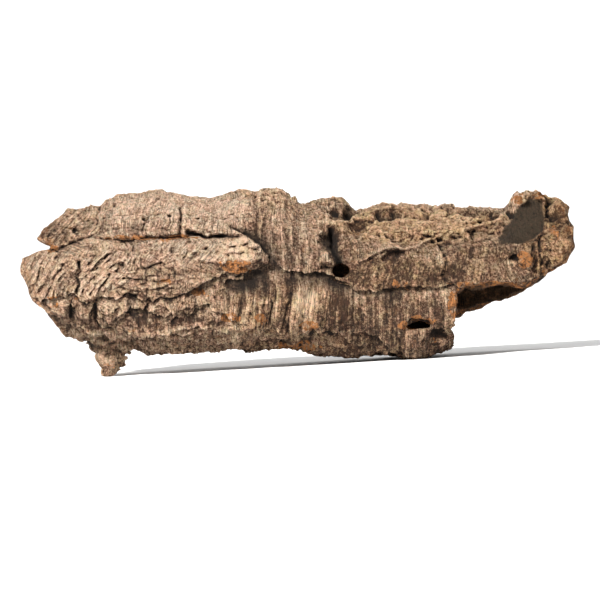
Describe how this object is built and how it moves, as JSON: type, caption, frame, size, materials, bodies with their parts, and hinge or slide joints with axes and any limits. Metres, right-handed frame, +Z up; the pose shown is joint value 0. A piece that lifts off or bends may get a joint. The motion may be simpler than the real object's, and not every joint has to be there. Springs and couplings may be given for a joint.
{
  "type": "cork bark tube",
  "caption": "Hollow roll of cork oak bark with deep lengthwise furrows, open at both ends, broken away underneath at one end, lying on its low points.",
  "frame": {"origin": "centre of the bounding box in plan, at the level of the surface the tube lies on", "axes": "+X along the tube towards the end that is broken away underneath, -Y towards the side that shows in the picture, +Z up"},
  "size_m": [0.3014, 0.0932, 0.0993],
  "materials": {
    "cork_bark": "rough matte weathered cork bark"
  },
  "bodies": {
    "root": {"cork_bark_tube": "cork_bark"}
  },
  "joints": []
}
